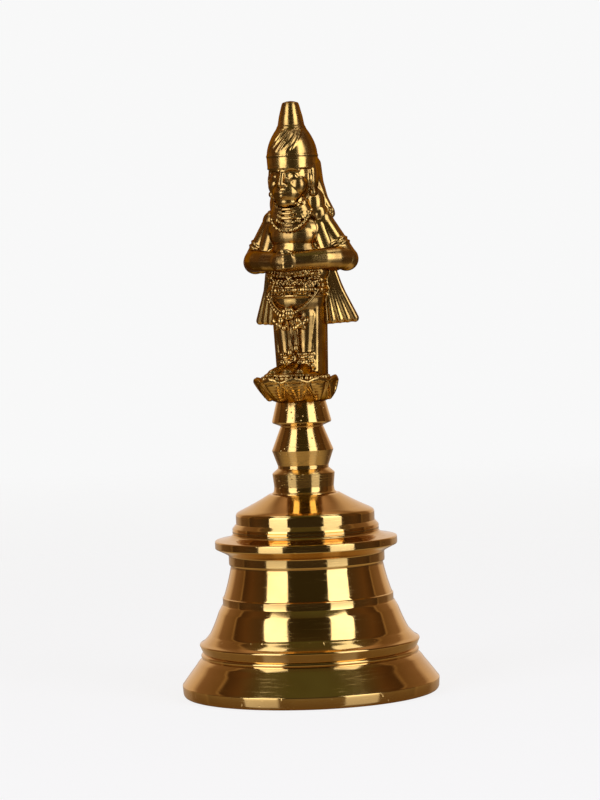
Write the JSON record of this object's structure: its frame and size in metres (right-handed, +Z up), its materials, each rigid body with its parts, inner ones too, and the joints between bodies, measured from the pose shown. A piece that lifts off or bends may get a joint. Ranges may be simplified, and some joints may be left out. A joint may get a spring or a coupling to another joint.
{
  "type": "hand bell",
  "caption": "Turned brass hand bell with a standing cast figure as its handle, a lotus pedestal, a turned neck and a clapper hung on a ring inside",
  "frame": {"origin": "centre of the bell's mouth, on the plane that the rim rests on", "axes": "+Z up the bell's axis to the crown of the figure; the figure faces -Y; +X is to the figure's left hand"},
  "size_m": [0.072, 0.072, 0.1652],
  "materials": {
    "polished_brass": "turned and polished, with fine lathe rings and light scratches",
    "turned_brass": "turned, with file marks and small pits",
    "cast_brass": "cast, bright on the high places and dark in the hollows",
    "iron_wire": "plain drawn steel, slightly dull",
    "clapper_brass": "turned brass, dulled, with a bright band where it strikes"
  },
  "bodies": {
    "bell": {"bell_body": "polished_brass", "neck_collar": "turned_brass", "handle_neck": "turned_brass", "figure_casting": "cast_brass", "eye_stud": "iron_wire", "crown_washer": "iron_wire", "crown_nut": "iron_wire"},
    "link": {"hanger_ring": "iron_wire"},
    "clapper": {"clapper_rod": "iron_wire", "clapper_ball": "clapper_brass"}
  },
  "joints": [
    {"name": "link_swing", "type": "hinge", "parent": "bell", "child": "link", "pos_m": [0, 0, 0.0396], "axis": [0.7071, 0.7071, 0], "range_deg": [-28.5, 28.5]},
    {"name": "clapper_swing", "type": "hinge", "parent": "link", "child": "clapper", "pos_m": [0, 0, 0.0344], "axis": [-0.7071, 0.7071, 0], "range_deg": [-28.5, 28.5]}
  ]
}
